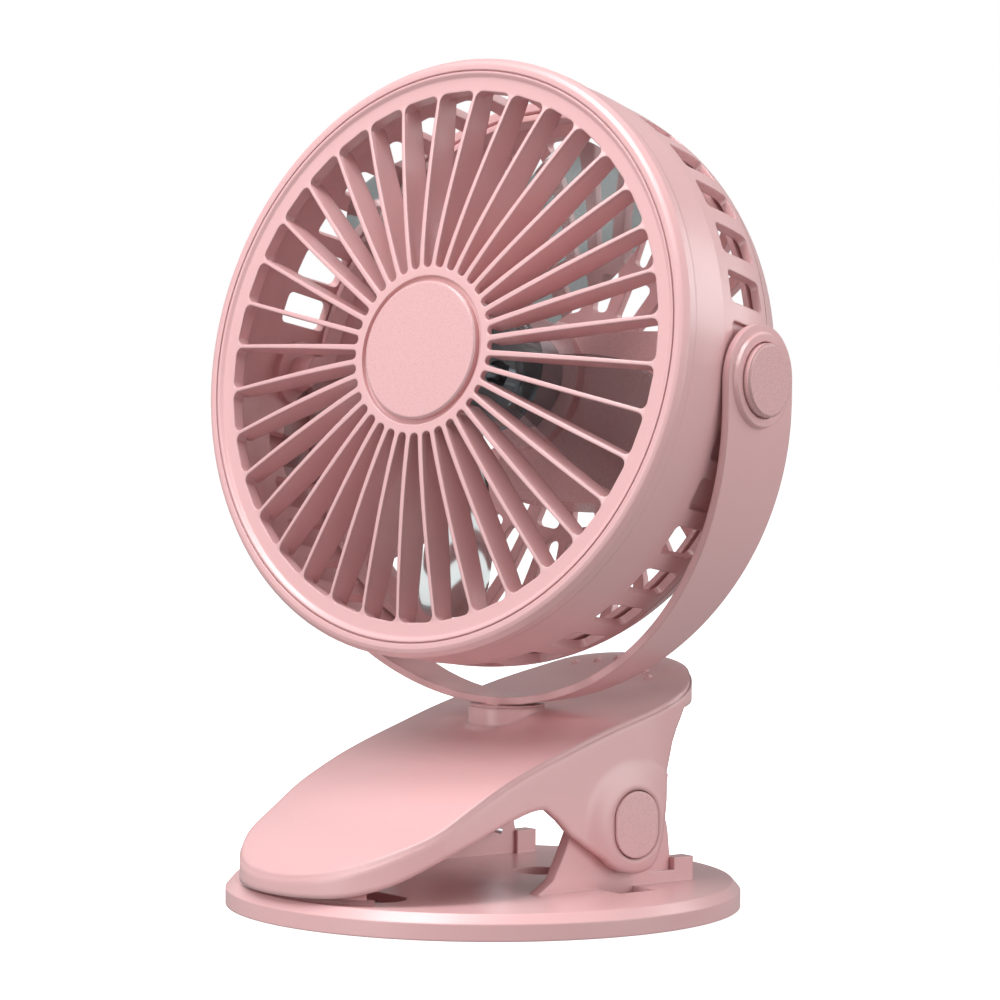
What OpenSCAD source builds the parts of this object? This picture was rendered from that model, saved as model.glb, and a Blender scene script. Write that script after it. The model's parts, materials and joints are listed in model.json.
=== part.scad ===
// Clip-on desk fan: a round head tilts in a U-shaped yoke, the yoke swivels on
// a sprung clip lever, and the lever is hinged to a round weighted base.
// Millimetres, +Z up, origin at the centre of the underside. The head faces -Y.

/* [Base] */
// Radius of the round base
base_r = 62.4; // [60:0.2:66]
// Height of the base's flat top above the table
base_h = 6.3; // [6:0.1:7]
// Height of the upright part of the rim
base_rim_h = 4.1; // [3.5:0.1:5]
// How far the rim's chamfer runs in
base_chamfer_in = 1.9; // [1:0.1:3]
// Thickness of the base's top plate
base_top_t = 2.4; // [2:0.1:2.8]
// Width of the base's rim wall
base_rim_t = 2.6; // [2:0.1:4]
// Height of the rim's lower edge above the table
foot_stand = 0.2; // [0.1:0.1:0.8]
// Thickness of the soft foot under the base
foot_t = 1.2; // [1:0.1:1.5]
// Thickness of the steel weight in the base
weight_t = 2.2; // [1.5:0.1:2.4]
// Radius of the round hole between the ears
ear_hole_r = 6.9; // [5:0.1:8]
// Length of the slot under the jaw
jaw_slot_len = 44; // [30:1:48]
// Width of the slot under the jaw
jaw_slot_w = 12; // [8:0.5:14]
// Length of the small slots beside the ears
side_slot_len = 10.8; // [8:0.2:12]
// Width of the small slots beside the ears
side_slot_w = 8.4; // [6:0.2:10]

/* [Hinge] */
// Distance of the hinge behind the base's centre
hinge_y = 18; // [16:0.5:20]
// Height of the hinge above the table
hinge_z = 21.5; // [20:0.5:24]
// Thickness of each ear of the base
ear_t = 3.2; // [2.6:0.1:4]
// Width of the ears above their flared feet
ear_w = 30; // [28:0.5:31]
// Radius of the hinge pin
pin_r = 2.5; // [2:0.1:3]
// Radial play of the pin in the ears
pin_play = 0.05; // [0.03:0.01:0.1]
// Height of the hinge cap
hinge_cap_h = 16; // [14:0.2:18]
// Width of the hinge cap
hinge_cap_w = 12.8; // [11:0.2:16]
// Wire of the clip springs
spring_wire = 1.6; // [1.2:0.1:1.8]
// Curls of each clip spring
spring_curls = 3; // [2:1:4]
// Room between the curls of the clip springs
spring_room = 0.8; // [0.6:0.1:1]

/* [Lever] */
// Distance from the hinge forward to the lever's nose
nose_reach = 80.9; // [79:0.1:81]
// Length of the clip lever
lever_len = 113.3; // [112:0.1:114]
// Width of the clip lever
lever_w = 70.4; // [68:0.4:74]
// Height of the lever's rear end above the table
lever_h = 54.7; // [54:0.1:55]
// Wall of the lever's skirts
skirt_t = 1.8; // [1.6:0.1:2]
// Thickness of the lever's top plate
lever_t = 2.4; // [2:0.1:3]
// How much the lever's top is crowned
lever_crown = 3.3; // [2:0.1:3.4]
// Length of the rounded nose
nose_round = 35.2; // [32:0.2:38]
// Length of the rounded tail
tail_round = 29.4; // [27:0.2:33]
// Step between the lever's top and its skirts
lever_lip = 0.5; // [0.3:0.1:0.8]
// Depth of the lever's rear rim
rear_rim_h = 4.6; // [4:0.1:6]
// Radius of the lever's hinge ears
lever_ear_r = 11.8; // [11:0.1:13]
// Thickness of the rubber jaw pads
jaw_pad_t = 1.4; // [1:0.1:1.6]

/* [Swivel] */
// Distance of the swivel behind the base's centre
swivel_y = 7; // [5:0.5:9]
// How far the head is turned on the clip
head_turn = 14; // [0:1:30]
// Radius of the swivel boss on the lever
boss_r = 9.4; // [8.5:0.1:10.5]
// Radius of the yoke's swivel spigot
spigot_r = 6; // [5:0.1:6.5]
// Height of the swivel boss above the lever
boss_rise = 1.7; // [1.2:0.1:2.5]
// Radial play of the spigot
spigot_play = 0.05; // [0.03:0.01:0.1]
// Thickness of the swivel's slip washer
slip_t = 0.5; // [0.4:0.1:0.8]

/* [Yoke] */
// Room between the drum and the yoke's arms
head_room = 0.3; // [0.3:0.1:0.8]
// How far the yoke's round part is centred below the tilt axis
yoke_fall = 5.4; // [5.3:0.1:5.5]
// Thickness of the yoke's band
yoke_t = 1.8; // [1.6:0.1:2.2]
// Half the width of the yoke at the tilt axis
yoke_half = 12.9; // [12:0.1:13.4]
// Half the width of the yoke at its lowest point
yoke_low_half = 5.8; // [5.2:0.1:9]
// Radius of the caps over the tilt screws
cap_r = 8.6; // [8:0.1:9.5]
// How far the caps stand off the yoke
cap_t = 2.9; // [2.6:0.1:3.2]
// Radius of the raised step round each cap
step_r = 11.4; // [10.8:0.1:12]
// Height of the raised step round each cap
step_t = 1.2; // [0.8:0.1:1.6]

/* [Head] */
// How far the head looks up
head_tilt = 10.8; // [0:0.2:20]
// Radius of the front rim
rim_r = 72.2; // [71:0.1:74]
// How far the drum stands in from the front rim
rim_step = 0.5; // [0.3:0.1:0.8]
// Wall of the drum
drum_t = 2.2; // [1.8:0.1:2.6]
// Distance from the tilt axis to the drum's front edge
drum_front = 24.7; // [24:0.1:26]
// Distance from the tilt axis back to the drum's rear edge
drum_back = 8; // [6:0.5:9]
// Distance from the tilt axis back to the rear of the head
head_back = 30.3; // [29:0.1:32]
// Ribs round the drum and on the rear grille
rib_count = 36; // [30:6:42]
// Length of the windows in the drum's side
window_len = 14.4; // [12:0.2:15]
// Distance from the tilt axis to the windows' front ends
window_front = 9.1; // [8:0.1:10]
// Share of the rib pitch that is open
window_share = 0.64; // [0.5:0.02:0.7]

/* [Front grille] */
// Vanes of the front grille
vane_count = 36; // [24:2:40]
// Thickness of a vane at its front edge
vane_t = 1.1; // [0.9:0.1:1.4]
// Depth of a vane at its deepest
vane_d = 8.4; // [6:0.2:9]
// Radius at which the slots end outside
slot_out_r = 64; // [62:0.2:65]
// Radius at which the slots end inside
slot_in_r = 19.9; // [19.4:0.1:21]
// Rise of the grille's dome from the slots' ends to the hub
dome_rise = 6.1; // [4:0.1:8]
// Radius of the groove round the hub disc
groove_r = 17.9; // [17.5:0.1:18.4]
// Radius of the hub disc
hub_disc_r = 16.6; // [16:0.1:17]
// Depth of the front rim
rim_d = 4.4; // [4:0.1:5]

/* [Fan] */
// Blades of the fan
blade_count = 5; // [3:1:6]
// Room between the blades' tips and the drum
blade_room = 8.5; // [7:0.5:12]
// Thickness of a blade
blade_t = 1.4; // [1:0.1:1.8]
// Radius of the fan's hub
fan_hub_r = 15; // [14:0.2:17]
// Radius of the motor's can
motor_r = 12; // [11:0.1:12.4]
// Length of the motor's can
motor_len = 23; // [20:0.5:24]
// Radius of the motor's shaft
shaft_r = 1.5; // [1:0.1:1.8]
// Length of the flat cell
cell_len = 34; // [30:0.5:35]
// Height of the flat cell
cell_h = 26; // [22:0.5:28]
// Thickness of the flat cell
cell_t = 8; // [6:0.2:9]
// Radius of the power button
button_r = 4; // [3:0.1:4.5]
// Travel of the power button
button_travel = 0.6; // [0.4:0.1:0.8]

/* [Hidden] */
$fn = 72;
// Room between curved faces of pieces that don't turn on each other
room = 0.3;
// Small room between pieces that sit in each other
seat = 0.1;
// Overrun of every cut
over = 0.5;
// How deep joined shapes run into each other
bite = 0.6;

// Colours
pink = "#F3BFC0";
pink_deep = "#E9B3B4";
smoke = "#5C6164";
steel = "#B9BCC0";
rubber = "#8E7C7E";
dark = "#2E2E32";

// Smooth curve through a table of [place share, height share] pairs
function find_row(rows, s, i = 0) =
    i >= len(rows) - 2 || s <= rows[i + 1][0] ? i : find_row(rows, s, i + 1);
function slope_at(rows, i) =
    let (a = max(i - 1, 0), b = min(i + 1, len(rows) - 1))
    (rows[b][1] - rows[a][1]) / (rows[b][0] - rows[a][0]);
function curve(rows, s) =
    let (
        i = find_row(rows, s),
        d = rows[i + 1][0] - rows[i][0],
        t = (s - rows[i][0]) / d
    )
    rows[i][1] * (2 * t * t * t - 3 * t * t + 1)
    + slope_at(rows, i) * d * (t * t * t - 2 * t * t + t)
    + rows[i + 1][1] * (3 * t * t - 2 * t * t * t)
    + slope_at(rows, i + 1) * d * (t * t * t - t * t);

// Points of an arc in a plane
function arc(c, r, from, to, n) =
    [for (i = [0:n]) let (a = from + (to - from) * i / n) c + r * [cos(a), sin(a)]];

// Lever: places along it are shares of its length, heights are shares of its height
lever_half = lever_w / 2;
nose_y = hinge_y - nose_reach;
lever_top_shares = [[0, 0.218], [0.052, 0.262], [0.115, 0.325], [0.208, 0.411], [0.29, 0.514],
    [0.383, 0.613], [0.466, 0.683], [0.559, 0.75], [0.641, 0.808], [0.734, 0.865],
    [0.827, 0.921], [0.909, 0.971], [0.96, 0.998], [1, 1.01]];
lever_low_shares = [[0, 0.136], [0.052, 0.15], [0.115, 0.196], [0.161, 0.243],
    [0.228, 0.315], [0.331, 0.404], [0.414, 0.466], [0.45, 0.486], [0.481, 0.489]];
rear_leg_shares = [[0.772, 0.233], [0.785, 0.32], [0.791, 0.4], [0.797, 0.475], [0.804, 0.55], [0.811, 0.62], [0.827, 0.735], [0.842, 0.795], [0.873, 0.88]];
crown_shares = [[0, 0.7], [0.15, 0.64], [0.3, 0.58], [0.46, 0.6], [0.56, 0.78], [0.62, 0.82],
    [0.7, 0.54], [0.77, 0.32], [0.82, 0.32], [0.864, 0.34], [0.908, 0.56], [0.95, 0.9], [1, 1]];
lever_low_end_share = 0.481;
jaw_bend_shares = [[0.515, 0.435], [0.546, 0.37]];
tail_rim_share = 0.92;
nose_power = 2.15;
tail_power = 2.5;
plan_steps = 20;
lever_steps = 56;
lever_cells = 12;
skirt_steps = 30;
skirt_cells = 8;
function lever_y(s) = nose_y + s * lever_len;
function lever_share(y) = (y - nose_y) / lever_len;
function lever_top(s) = curve(lever_top_shares, min(max(s, 0), 1)) * lever_h;
function lever_low(s) = curve(lever_low_shares, s) * lever_h;
front_mid = nose_y + nose_round;
back_mid = lever_y(1) - tail_round;
// Half the lever's width at a place along it, for a plan drawn in to a half width
function round_off(d, depth, power) =
    pow(max(1 - pow(min(d / depth, 1), power), 0), 1 / power);
function lever_side(y, half) =
    let (inset = lever_half - half)
    y < front_mid ? half * round_off(front_mid - y, nose_round - inset, nose_power)
    : y > back_mid ? half * round_off(y - back_mid, tail_round - inset, tail_power)
    : half;
// Rise of the crowned top at a place: the tail's rim is arched too
function crown_rise(x, y) =
    let (
        half = y > front_mid ? lever_half : max(lever_side(y, lever_half), lever_lip),
        rise = lever_crown * curve(crown_shares, min(max(lever_share(y), 0), 1))
    )
    rise * max(half * half - x * x, 0) / (lever_half * lever_half);
function skin_z(x, y) = lever_top(lever_share(y)) + crown_rise(x, y);

// Hinge: the skirts run outside the ears
skirt_in = lever_half - skirt_t;
ear_room = 0.5;
ear_out = skirt_in - ear_room;
ear_in = ear_out - ear_t;
swell_t = 1.3;
swell_r = 15.5;
swell_flat_r = 8.8;
swell_steps = 10;
cap_gap = 0.35;
cap_proud = 0.4;
hinge_cap_t = 1.4;
ear_top_r = 13;
ear_front_shares = [[0, 1.81], [0.06, 1.7], [0.21, 1.48], [0.56, 1.29], [0.93, 1.12],
    [1.26, 0.96], [1.49, 0.77], [1.68, 0.52]];
ear_rear_shares = [[0, 1.38], [0.04, 1.28], [0.12, 1.16], [0.3, 1.02], [0.54, 0.965],
    [0.75, 0.935], [0.95, 0.885]];
ear_clear_z = hinge_z - lever_ear_r - ear_room;
stop_h = 5.8;
stop_t = 6;
stop_w = 4.2;
stop_back = 5.8;
stop_y = hinge_y + ear_w / 2 + stop_back;
pin_flange_r = 4.6;
pin_flange_t = 0.8;

// Clip springs
spring_r = 6.2;
spring_low_deg = 16;
spring_high_deg = 50;
spring_pitch = spring_wire + spring_room;
spring_low_len = 11;
spring_high_len = 29;
spring_rings = 8;
spring_sides = 6;
sleeve_r = spring_r - spring_wire / 2 - room;
spring_turns = spring_curls + (180 - spring_low_deg - spring_high_deg) / 360;
spring_span = spring_turns * spring_pitch;
spring_count = round(spring_turns * spring_rings);
spring_x = ear_in - room - spring_wire - spring_span / 2;

// Swivel: the washer that holds the spigot clears the underside of the lever
retainer_r = 9;
retainer_t = 1.2;
boss_top = skin_z(0, swivel_y) + boss_rise;
housing_wall = 4;
housing_r = spigot_r + housing_wall;
housing_low = lever_top(lever_share(swivel_y - retainer_r - room)) - lever_t;
spigot_low = housing_low - room;
small_screw_r = 1.5;
small_head_r = 3.6;
small_head_t = 1.8;
swivel_screw_len = 9;

// Yoke: its inner face follows the drum, and the swivel sets its height
drum_r = rim_r - rim_step;
arm_in = drum_r + head_room;
yoke_r = arm_in + yoke_t;
yoke_drop = yoke_r + yoke_fall;
pivot_z = boss_top + slip_t + seat + yoke_drop;
bush_r = 4;
bush_play = 0.05;
pad_r = 8.4;
pad_face = arm_in - room;
pivot_screw_len = 10;
pivot_head_r = 5.4;
pivot_head_t = 1.1;
cap_wall = 0.8;

// Head: the drum's outline as [share of the way round the bend, radius share]
drum_share = 0.47;
dome_shares = [[0, 0.993], [0.06, 0.989], [0.195, 0.981], [0.323, 0.964], [0.393, 0.945],
    [0.468, 0.918], [0.554, 0.872], [0.654, 0.803], [0.752, 0.713], [0.846, 0.596],
    [0.936, 0.457], [1, 0.347]];
shell_t = drum_t;
grille_back = drum_back + room;
spigot_d = 3.2;
window_corner = 1.4;
rib_turn = 1.8;
blind_d = 0.8;
vane_turn = -1.5;
rear_plate_r = 22;
rear_ring_r = 36;
rear_ring_w = 3;
rear_slot_share = 0.66;
rear_slot_out_share = 0.885;
rear_slot_out = rim_r * rear_slot_out_share;
inner_slot_share = 0.62;

// Front grille
web_t = 1.6;
slot_corner = 1.7;
hub_ring_t = 2;
groove_d = 1.1;
hub_disc_t = 1.4;
step_drop = 0.8;
rim_lip = 0.9;
seam_r = 69.1;
seam_w = 0.35;
seam_d = 0.6;
flat_r = 67.4;
front_z = drum_front + rim_d;
slot_z = front_z - step_drop;
hub_z = slot_z + dome_rise;

// Motor, pod and fan
blade_r = drum_r - drum_t - blade_room;
motor_front = 3;
motor_back = motor_front - motor_len;
motor_nose_t = 1.5;
bearing_proud = 1;
bearing_play = 0.03;
pod_t = 2.4;
pod_room = 3;
pod_back = head_back - shell_t - pod_room;
pod_front = 8;
pod_up = 13;
pod_down = 29;
pod_round = 6;
pod_reach = 60;
pod_lid_t = 1.4;
cell_gap = 1;
board_t = 1.2;
board_r = 14.2;
board_back = 24.6;
fan_back = 6;
fan_front = 19;
fan_wall = 1.8;
fan_turn = 55;
shaft_proud = 1;
blade_root_deg = 42;
blade_tip_deg = 24;
blade_root_w = 15;
blade_tip_w = 40;
blade_belly = 1.4;
blade_trim = 5;
blade_flat_share = 0.62;
blade_waist_share = 0.25;
blade_rows = 10;
blade_cols = 6;
nut_r = 3.4;
nut_t = 3;
socket_w = 8.9;
socket_h = 3.2;
socket_y = 9;
socket_wall = 0.55;
socket_deep = 3.6;
button_y = -9.5;
button_proud = 1;
switch_t = 2;
light_r = 1.3;
light_x = 10;

// Places the head's own frame: its +Z looks forward and its +Y is up
module head_place() {
    translate([0, swivel_y, pivot_z])
        rotate([0, 0, head_turn])
        rotate([90 - head_tilt, 0, 0])
        children();
}

// Places the yoke's frame at the tilt axis, upright
module yoke_place() {
    translate([0, swivel_y, pivot_z])
        rotate([0, 0, head_turn])
        children();
}

// Extrudes a side view, drawn with y to the right and z up, along X
module along_x(from, to) {
    translate([from, 0, 0])
        rotate([90, 0, 90])
        linear_extrude(to - from)
        children();
}

// Copies a piece of the right side to the left
module on_side(side) {
    mirror([side < 0 ? 1 : 0, 0, 0])
        children();
}

// A bar with round ends, seen from above
module stadium(len, wide, high) {
    for (x = [-1, 1]) {
        translate([x * (len - wide) / 2, 0, 0])
            cylinder(r = wide / 2, h = high);
    }
    translate([-(len - wide) / 2, -wide / 2, 0])
        cube([len - wide, wide, high]);
}

// Side view of one ear of the base, drawn from the hinge, with its flared feet
ear_half = ear_w / 2;
ear_high = hinge_z - base_h;
ear_arc_deg = 60;
function ear_outline() = concat(
    [[-ear_front_shares[0][1] * ear_half, -ear_high - bite]],
    [for (p = ear_front_shares) [-p[1] * ear_half, p[0] * ear_high - ear_high]],
    arc([0, 0], ear_top_r, 90 + ear_arc_deg / 3, -2, 12),
    [for (i = [len(ear_rear_shares) - 1:-1:0]) let (p = ear_rear_shares[i])
        [p[1] * ear_half, p[0] * ear_high - ear_high]],
    [[ear_rear_shares[0][1] * ear_half, -ear_high - bite]]
);

// Ears: flat below, and above their feet they follow the lever's plan
module base_ears() {
    intersection() {
        for (side = [-1, 1]) {
            on_side(side)
                along_x(ear_in, ear_out)
                translate([hinge_y, hinge_z])
                polygon(ear_outline());
        }
        union() {
            translate([-lever_half, -base_r, 0])
                cube([2 * lever_half, 2 * base_r, ear_clear_z]);
            linear_extrude(lever_h)
                lever_plan(ear_out);
        }
    }
}

jaw_slot_y = -base_r + jaw_slot_w * 1.7;

module base_shape() {
    rotate_extrude($fn = 120)
        polygon([
            [0, foot_stand],
            [base_r, foot_stand],
            [base_r, base_rim_h],
            [base_r - base_chamfer_in, base_h],
            [0, base_h]
        ]);
}

module base_plate() {
    color(pink)
    difference() {
        union() {
            base_shape();
            base_ears();
            for (side = [-1, 1]) {
                on_side(side)
                    translate([ear_out - stop_w, stop_y - stop_t, base_h - bite])
                    cube([stop_w, stop_t, stop_h + bite]);
            }
        }
        translate([0, 0, foot_stand - over])
            cylinder(r = base_r - base_rim_t, h = base_h - base_top_t - foot_stand + over, $fn = 120);
        translate([-skirt_in, hinge_y, hinge_z])
            rotate([0, 90, 0])
            cylinder(r = pin_r + pin_play, h = 2 * skirt_in);
        translate([0, hinge_y, 0])
            cylinder(r = ear_hole_r, h = base_h + over);
        translate([0, jaw_slot_y, 0])
            stadium(jaw_slot_len, jaw_slot_w, base_h + over);
        for (side = [-1, 1]) {
            on_side(side)
                translate([ear_out, hinge_y - side_slot_len * 0.8, 0])
                cube([side_slot_w, side_slot_len, base_h + over]);
        }
    }
}

module base_weight() {
    color(steel)
    translate([0, 0, foot_t])
    difference() {
        cylinder(r = base_r - base_rim_t - room, h = weight_t, $fn = 96);
        translate([0, hinge_y, -over])
            cylinder(r = ear_hole_r + room, h = weight_t + 2 * over);
        translate([0, jaw_slot_y, -over])
            stadium(jaw_slot_len, jaw_slot_w, weight_t + 2 * over);
    }
}

module base_foot() {
    color(rubber)
    cylinder(r = base_r - base_rim_t - room, h = foot_t, $fn = 96);
}

// Rubber pad on the base, under the lever's nose
pad_edge = 1;
pad_inset = 2.6;
base_pad_y = jaw_slot_y - jaw_slot_w / 2 - pad_edge;

module base_jaw_pad() {
    color(rubber)
    intersection() {
        translate([0, 0, base_h])
            linear_extrude(jaw_pad_t - room)
            lever_plan(skirt_in - pad_inset);
        translate([-lever_half, -base_r, base_h])
            cube([lever_w, base_pad_y + base_r, jaw_pad_t]);
        cylinder(r = base_r - base_chamfer_in - pad_edge, h = base_h + jaw_pad_t, $fn = 120);
    }
}

// Plan of the lever: straight sides, a round nose and a squarer tail
function plan_end(half, depth, power, mid, way, from, to) =
    [for (i = [0:plan_steps]) let (a = from + (to - from) * i / plan_steps)
        [half * sign(cos(a)) * pow(abs(cos(a)), 2 / power),
            mid + way * depth * pow(abs(sin(a)), 2 / power)]];

module lever_plan(half) {
    inset = lever_half - half;
    polygon(concat(
        plan_end(half, nose_round - inset, nose_power, front_mid, -1, 180, 90),
        plan_end(half, nose_round - inset, nose_power, front_mid, -1, 90, 0),
        plan_end(half, tail_round - inset, tail_power, back_mid, 1, 0, 90),
        plan_end(half, tail_round - inset, tail_power, back_mid, 1, 90, 180)
    ));
}

// Side view of the skirts, from the jaw's lower edge round the ear to the tail's rim
function skirt_outline() = concat(
    [for (i = [0:24]) let (s = i / 24 * lever_low_end_share) [lever_y(s), lever_low(s)]],
    [for (p = jaw_bend_shares) [lever_y(p[0]), p[1] * lever_h]],
    arc([hinge_y, hinge_z], lever_ear_r, 222, 296, 12),
    [for (r = rear_leg_shares) [lever_y(r[0]), r[1] * lever_h]],
    [[lever_y(tail_rim_share), lever_top(tail_rim_share) - rear_rim_h]],
    [[lever_y(1) + over, lever_top(1) - rear_rim_h]],
    [[lever_y(1) + over, lever_h + lever_crown]],
    [[nose_y - over, lever_h + lever_crown], [nose_y - over, lever_low(0)]]
);

// Closed solid between two grids of points that have the same plan
module grid_solid(top, low, rows, cols) {
    n = cols + 1;
    m = (rows + 1) * n;
    last = rows * n;
    up = [for (i = [0:rows - 1]) for (j = [0:cols - 1]) let (a = i * n + j)
        each [[a, a + n, a + 1], [a + 1, a + n, a + n + 1]]];
    down = [for (f = up) [f[0] + m, f[2] + m, f[1] + m]];
    sides = [for (i = [0:rows - 1]) let (a = i * n, b = i * n + cols)
        each [[a, a + m, a + n], [a + n, a + m, a + n + m],
            [b, b + n, b + m], [b + n, b + n + m, b + m]]];
    ends = [for (j = [0:cols - 1])
        each [[j, j + 1, j + m], [j + 1, j + 1 + m, j + m],
            [last + j, last + j + m, last + j + 1],
            [last + j + 1, last + j + m, last + j + 1 + m]]];
    polyhedron(concat(top, low), concat(up, down, sides, ends));
}

// Crowned top plate, worked out on a grid that follows the plan
end_share = 0.004;
function plate_point(i, j, low) =
    let (
        s = end_share + (1 - 2 * end_share) * (1 - cos(180 * i / lever_steps)) / 2,
        y = lever_y(s),
        half = max(lever_side(y, lever_half - lever_lip), lever_lip),
        x = half * (2 * j / lever_cells - 1)
    )
    [x, y, skin_z(x, y) - (low ? lever_t : 0)];

module lever_plate() {
    grid_solid(
        [for (i = [0:lever_steps]) for (j = [0:lever_cells]) plate_point(i, j, false)],
        [for (i = [0:lever_steps]) for (j = [0:lever_cells]) plate_point(i, j, true)],
        lever_steps, lever_cells);
}

// What lies under the middle of the top plate
module under_skin() {
    wide = lever_half + over;
    long = lever_len + 2 * over;
    grid = [for (i = [0:skirt_steps]) for (j = [0:skirt_cells])
        let (x = wide * (2 * j / skirt_cells - 1), y = nose_y - over + long * i / skirt_steps)
        [x, y, skin_z(x, y) - lever_t / 2]];
    grid_solid(grid, [for (p = grid) [p[0], p[1], 0]], skirt_steps, skirt_cells);
}

module lever_skirts() {
    intersection() {
        difference() {
            linear_extrude(lever_h + lever_crown)
                lever_plan(lever_half);
            translate([0, 0, -over])
                linear_extrude(lever_h + lever_crown + 2 * over)
                lever_plan(skirt_in);
        }
        along_x(-lever_half - over, lever_half + over)
            polygon(skirt_outline());
        under_skin();
    }
}

// Soft swelling of the skirt round the hinge cap
module hinge_swelling() {
    intersection() {
        translate([lever_half - bite, hinge_y, hinge_z])
            rotate([0, 90, 0])
            rotate_extrude($fn = 96)
            polygon(concat(
                [[0, 0], [swell_r, 0]],
                [for (i = [0:swell_steps]) let (t = i / swell_steps)
                    [swell_r + (swell_flat_r - swell_r) * t, bite + swell_t * (1 - cos(180 * t)) / 2]],
                [[0, bite + swell_t]]
            ));
        along_x(0, lever_half + swell_t + over)
            polygon(skirt_outline());
    }
}

// Depth that the boss sinks into the skin, and half the hinge pins' span
boss_sink = skin_z(0, swivel_y) - lever_top(lever_share(swivel_y - boss_r)) + bite;
pin_end = lever_half + swell_t - hinge_cap_t;

module clip_lever() {
    color(pink)
    difference() {
        union() {
            lever_plate();
            lever_skirts();
            for (side = [-1, 1]) {
                on_side(side)
                    hinge_swelling();
            }
            translate([0, swivel_y, housing_low])
                cylinder(r = housing_r, h = lever_top(lever_share(swivel_y)) - housing_low);
            translate([0, swivel_y, boss_top - boss_rise - boss_sink])
                cylinder(r = boss_r, h = boss_rise + boss_sink);
        }
        translate([0, swivel_y, housing_low - over])
            cylinder(r = spigot_r + spigot_play, h = boss_top - housing_low + 2 * over);
        translate([0, swivel_y, boss_top])
            cylinder(r = boss_r + room, h = lever_crown + slip_t);
        translate([-pin_end, hinge_y, hinge_z])
            rotate([0, 90, 0])
            cylinder(r = pin_r, h = 2 * pin_end);
        for (side = [-1, 1]) {
            on_side(side)
                hinge_recess();
        }
    }
}

// Oval recess that the hinge cap sits in
module hinge_oval(grow, from, to) {
    translate([from, hinge_y, hinge_z])
        rotate([0, 90, 0]) {
            for (z = [-1, 1]) {
                translate([z * (hinge_cap_h - hinge_cap_w) / 2, 0, 0])
                    cylinder(r = hinge_cap_w / 2 + grow, h = to - from);
            }
            translate([-(hinge_cap_h - hinge_cap_w) / 2, -hinge_cap_w / 2 - grow, 0])
                cube([hinge_cap_h - hinge_cap_w, hinge_cap_w + 2 * grow, to - from]);
        }
}

module hinge_recess() {
    hinge_oval(cap_gap, lever_half + swell_t - hinge_cap_t, lever_half + swell_t + over);
}

module hinge_cap(side) {
    color(pink_deep)
    on_side(side)
        hinge_oval(0, lever_half + swell_t - hinge_cap_t, lever_half + swell_t + cap_proud);
}

// Each hinge pin is fixed in its skirt and turns in its ear
module hinge_pin(side) {
    pin_low = spring_x - spring_span / 2 - spring_wire - pin_flange_t;
    color(steel)
    on_side(side)
        translate([pin_low, hinge_y, hinge_z])
        rotate([0, 90, 0]) {
            cylinder(r = pin_r, h = pin_end - pin_low);
            cylinder(r = pin_flange_r, h = pin_flange_t - seat);
        }
}

// Rubber pad under the lever's nose
nose_pad_y = 11;
nose_share = 0.02;
nose_pad_t = lever_top(nose_share) - lever_t - base_h - jaw_pad_t - 2 * seat;

module lever_jaw_pad() {
    pad_z = base_h + jaw_pad_t;
    color(rubber)
    translate([0, 0, pad_z])
    intersection() {
        linear_extrude(nose_pad_t)
            lever_plan(skirt_in - seat);
        translate([-lever_half, nose_y, 0])
            cube([lever_w, nose_pad_y, nose_pad_t]);
    }
}

// Clip spring: a low leg beside the stop, the curls, and a high leg under the lever
function spring_spot(t) =
    let (a = 90 + spring_low_deg + t * 360 * spring_turns)
    [spring_x + (0.5 - t) * spring_span, hinge_y + spring_r * cos(a), hinge_z - spring_r * sin(a)];
spring_path = concat(
    [spring_spot(0) + spring_low_len * [0, cos(spring_low_deg), -sin(spring_low_deg)]],
    [for (i = [0:spring_count]) spring_spot(i / spring_count)],
    [spring_spot(1) + spring_high_len * [0, cos(spring_high_deg), sin(spring_high_deg)]]
);

function unit(v) = v / norm(v);
function path_way(p, i) =
    unit(unit(p[min(i + 1, len(p) - 1)] - p[max(i, 0)] + (i == len(p) - 1 ? p[i] - p[i - 1] : [0, 0, 0]))
        + (i == 0 ? [0, 0, 0] : unit(p[i] - p[i - 1])));

module tube(p, r, sides, across) {
    rings = len(p);
    points = [for (i = [0:rings - 1])
        let (w = path_way(p, i), u = unit(across - (across * w) * w), v = cross(w, u))
        each [for (k = [0:sides - 1]) p[i] + r * (cos(360 * k / sides) * u + sin(360 * k / sides) * v)]];
    walls = [for (i = [0:rings - 2]) for (k = [0:sides - 1])
        let (a = i * sides + k, b = i * sides + (k + 1) % sides)
        each [[a, a + sides, b], [b, a + sides, b + sides]]];
    caps = [for (k = [1:sides - 2])
        each [[0, k, k + 1], [(rings - 1) * sides, (rings - 1) * sides + k + 1, (rings - 1) * sides + k]]];
    polyhedron(points, concat(walls, caps));
}

// Least gap between points a curl or more apart
spring_gap = min([for (i = [1:spring_count - spring_rings + 1]) for (j = [i + spring_rings - 1:spring_count + 1])
    norm(spring_path[i] - spring_path[j])]) - spring_wire;

module clip_spring(side) {
    echo(spring_least_gap = spring_gap);
    color(steel)
    on_side(side)
    tube(spring_path, spring_wire / 2, spring_sides, [1, 0, 0]);
}

module spring_sleeve(side) {
    color(dark)
    on_side(side)
        translate([spring_x - spring_span / 2 - spring_wire, hinge_y, hinge_z])
        rotate([0, 90, 0])
        difference() {
            cylinder(r = sleeve_r, h = spring_span + 2 * spring_wire);
            translate([0, 0, -over])
                cylinder(r = pin_r + seat, h = spring_span + 2 * spring_wire + 2 * over);
        }
}

module swivel_slip_washer() {
    color(dark)
    translate([0, swivel_y, boss_top])
        difference() {
            cylinder(r = boss_r - room, h = slip_t);
            translate([0, 0, -over])
                cylinder(r = spigot_r + seat, h = slip_t + 2 * over);
        }
}

// Half the band's width at a height below the tilt axis
function band_half(z) =
    let (s = z / yoke_drop)
    yoke_low_half + (yoke_half - yoke_low_half) * (1 - s * s);
band_steps = 16;

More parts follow.
